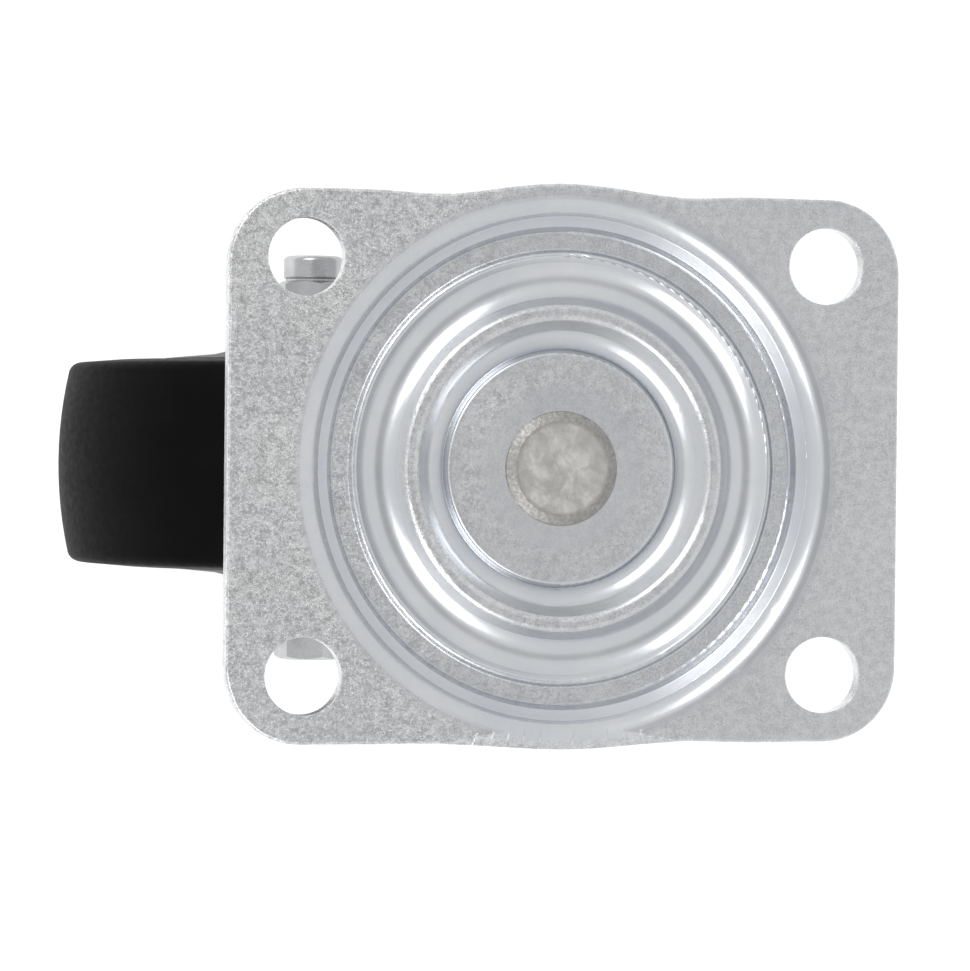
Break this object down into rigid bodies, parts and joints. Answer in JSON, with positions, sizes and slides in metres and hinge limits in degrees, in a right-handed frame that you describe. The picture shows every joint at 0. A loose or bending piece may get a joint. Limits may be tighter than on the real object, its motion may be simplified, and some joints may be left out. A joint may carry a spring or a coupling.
{
  "type": "swivel castor",
  "caption": "Swivel plate castor with an oblong plate, pressed ball-race head, twin-leg fork and a black rubber-tyred wheel on a bolted axle.",
  "frame": {"origin": "on the swivel axis, in the plane of the plate's mounting face, at the centre of its four bolt holes", "axes": "+Z out of the mounting face, away from the wheel; +X along the plate's length, opposite to the way the wheel trails; +Y along the plate's width, parallel to the axle"},
  "size_m": [0.1155, 0.0821, 0.106],
  "materials": {
    "zinc_plate": "bright zinc plate over rolled and pressed sheet, satin",
    "zinc_fastener": "zinc-plated, semi-bright",
    "bare_steel": "bare, hammered or turned",
    "bearing_steel": "polished",
    "white_nylon": "matt, natural",
    "black_rubber": "satin black, moulded",
    "black_plastic": "matt black, moulded"
  },
  "bodies": {
    "plate": {"top_plate": "zinc_plate", "kingpin": "bare_steel", "lower_race_cup": "zinc_plate"},
    "upper_ball_set": {"upper_balls": "bearing_steel"},
    "lower_ball_set": {"lower_balls": "bearing_steel"},
    "fork": {"fork": "zinc_plate", "axle_bolt": "zinc_fastener", "axle_nut": "zinc_fastener", "nut_insert": "white_nylon", "axle_sleeve": "bare_steel", "hub_washer_left": "zinc_plate", "hub_washer_right": "zinc_plate"},
    "wheel": {"wheel_centre": "black_plastic", "tyre": "black_rubber", "bearing_shell": "bare_steel", "thread_guard_left": "black_plastic", "thread_guard_right": "black_plastic"},
    "roller_set": {"bearing_rollers": "bearing_steel", "roller_cage": "white_nylon"}
  },
  "joints": [
    {"name": "swivel", "type": "hinge", "parent": "plate", "child": "fork", "pos_m": [0, 0, -0.0093], "axis": [0, 0, 1], "continuous": true},
    {"name": "wheel_spin", "type": "hinge", "parent": "fork", "child": "wheel", "pos_m": [-0.0255, 0, -0.066], "axis": [0, 1, 0], "continuous": true},
    {"name": "upper_ball_orbit", "type": "hinge", "parent": "plate", "child": "upper_ball_set", "pos_m": [0, 0, -0.00785], "axis": [0, 0, 1], "continuous": true},
    {"name": "lower_ball_orbit", "type": "hinge", "parent": "plate", "child": "lower_ball_set", "pos_m": [0, 0, -0.01303], "axis": [0, 0, 1], "continuous": true},
    {"name": "roller_orbit", "type": "hinge", "parent": "fork", "child": "roller_set", "pos_m": [-0.0255, 0, -0.066], "axis": [0, 1, 0], "continuous": true}
  ],
  "couplings": [
    {"joint": "upper_ball_orbit", "follows": "swivel", "ratio": 0.5},
    {"joint": "lower_ball_orbit", "follows": "swivel", "ratio": 0.5},
    {"joint": "roller_orbit", "follows": "wheel_spin", "ratio": 0.6273}
  ]
}
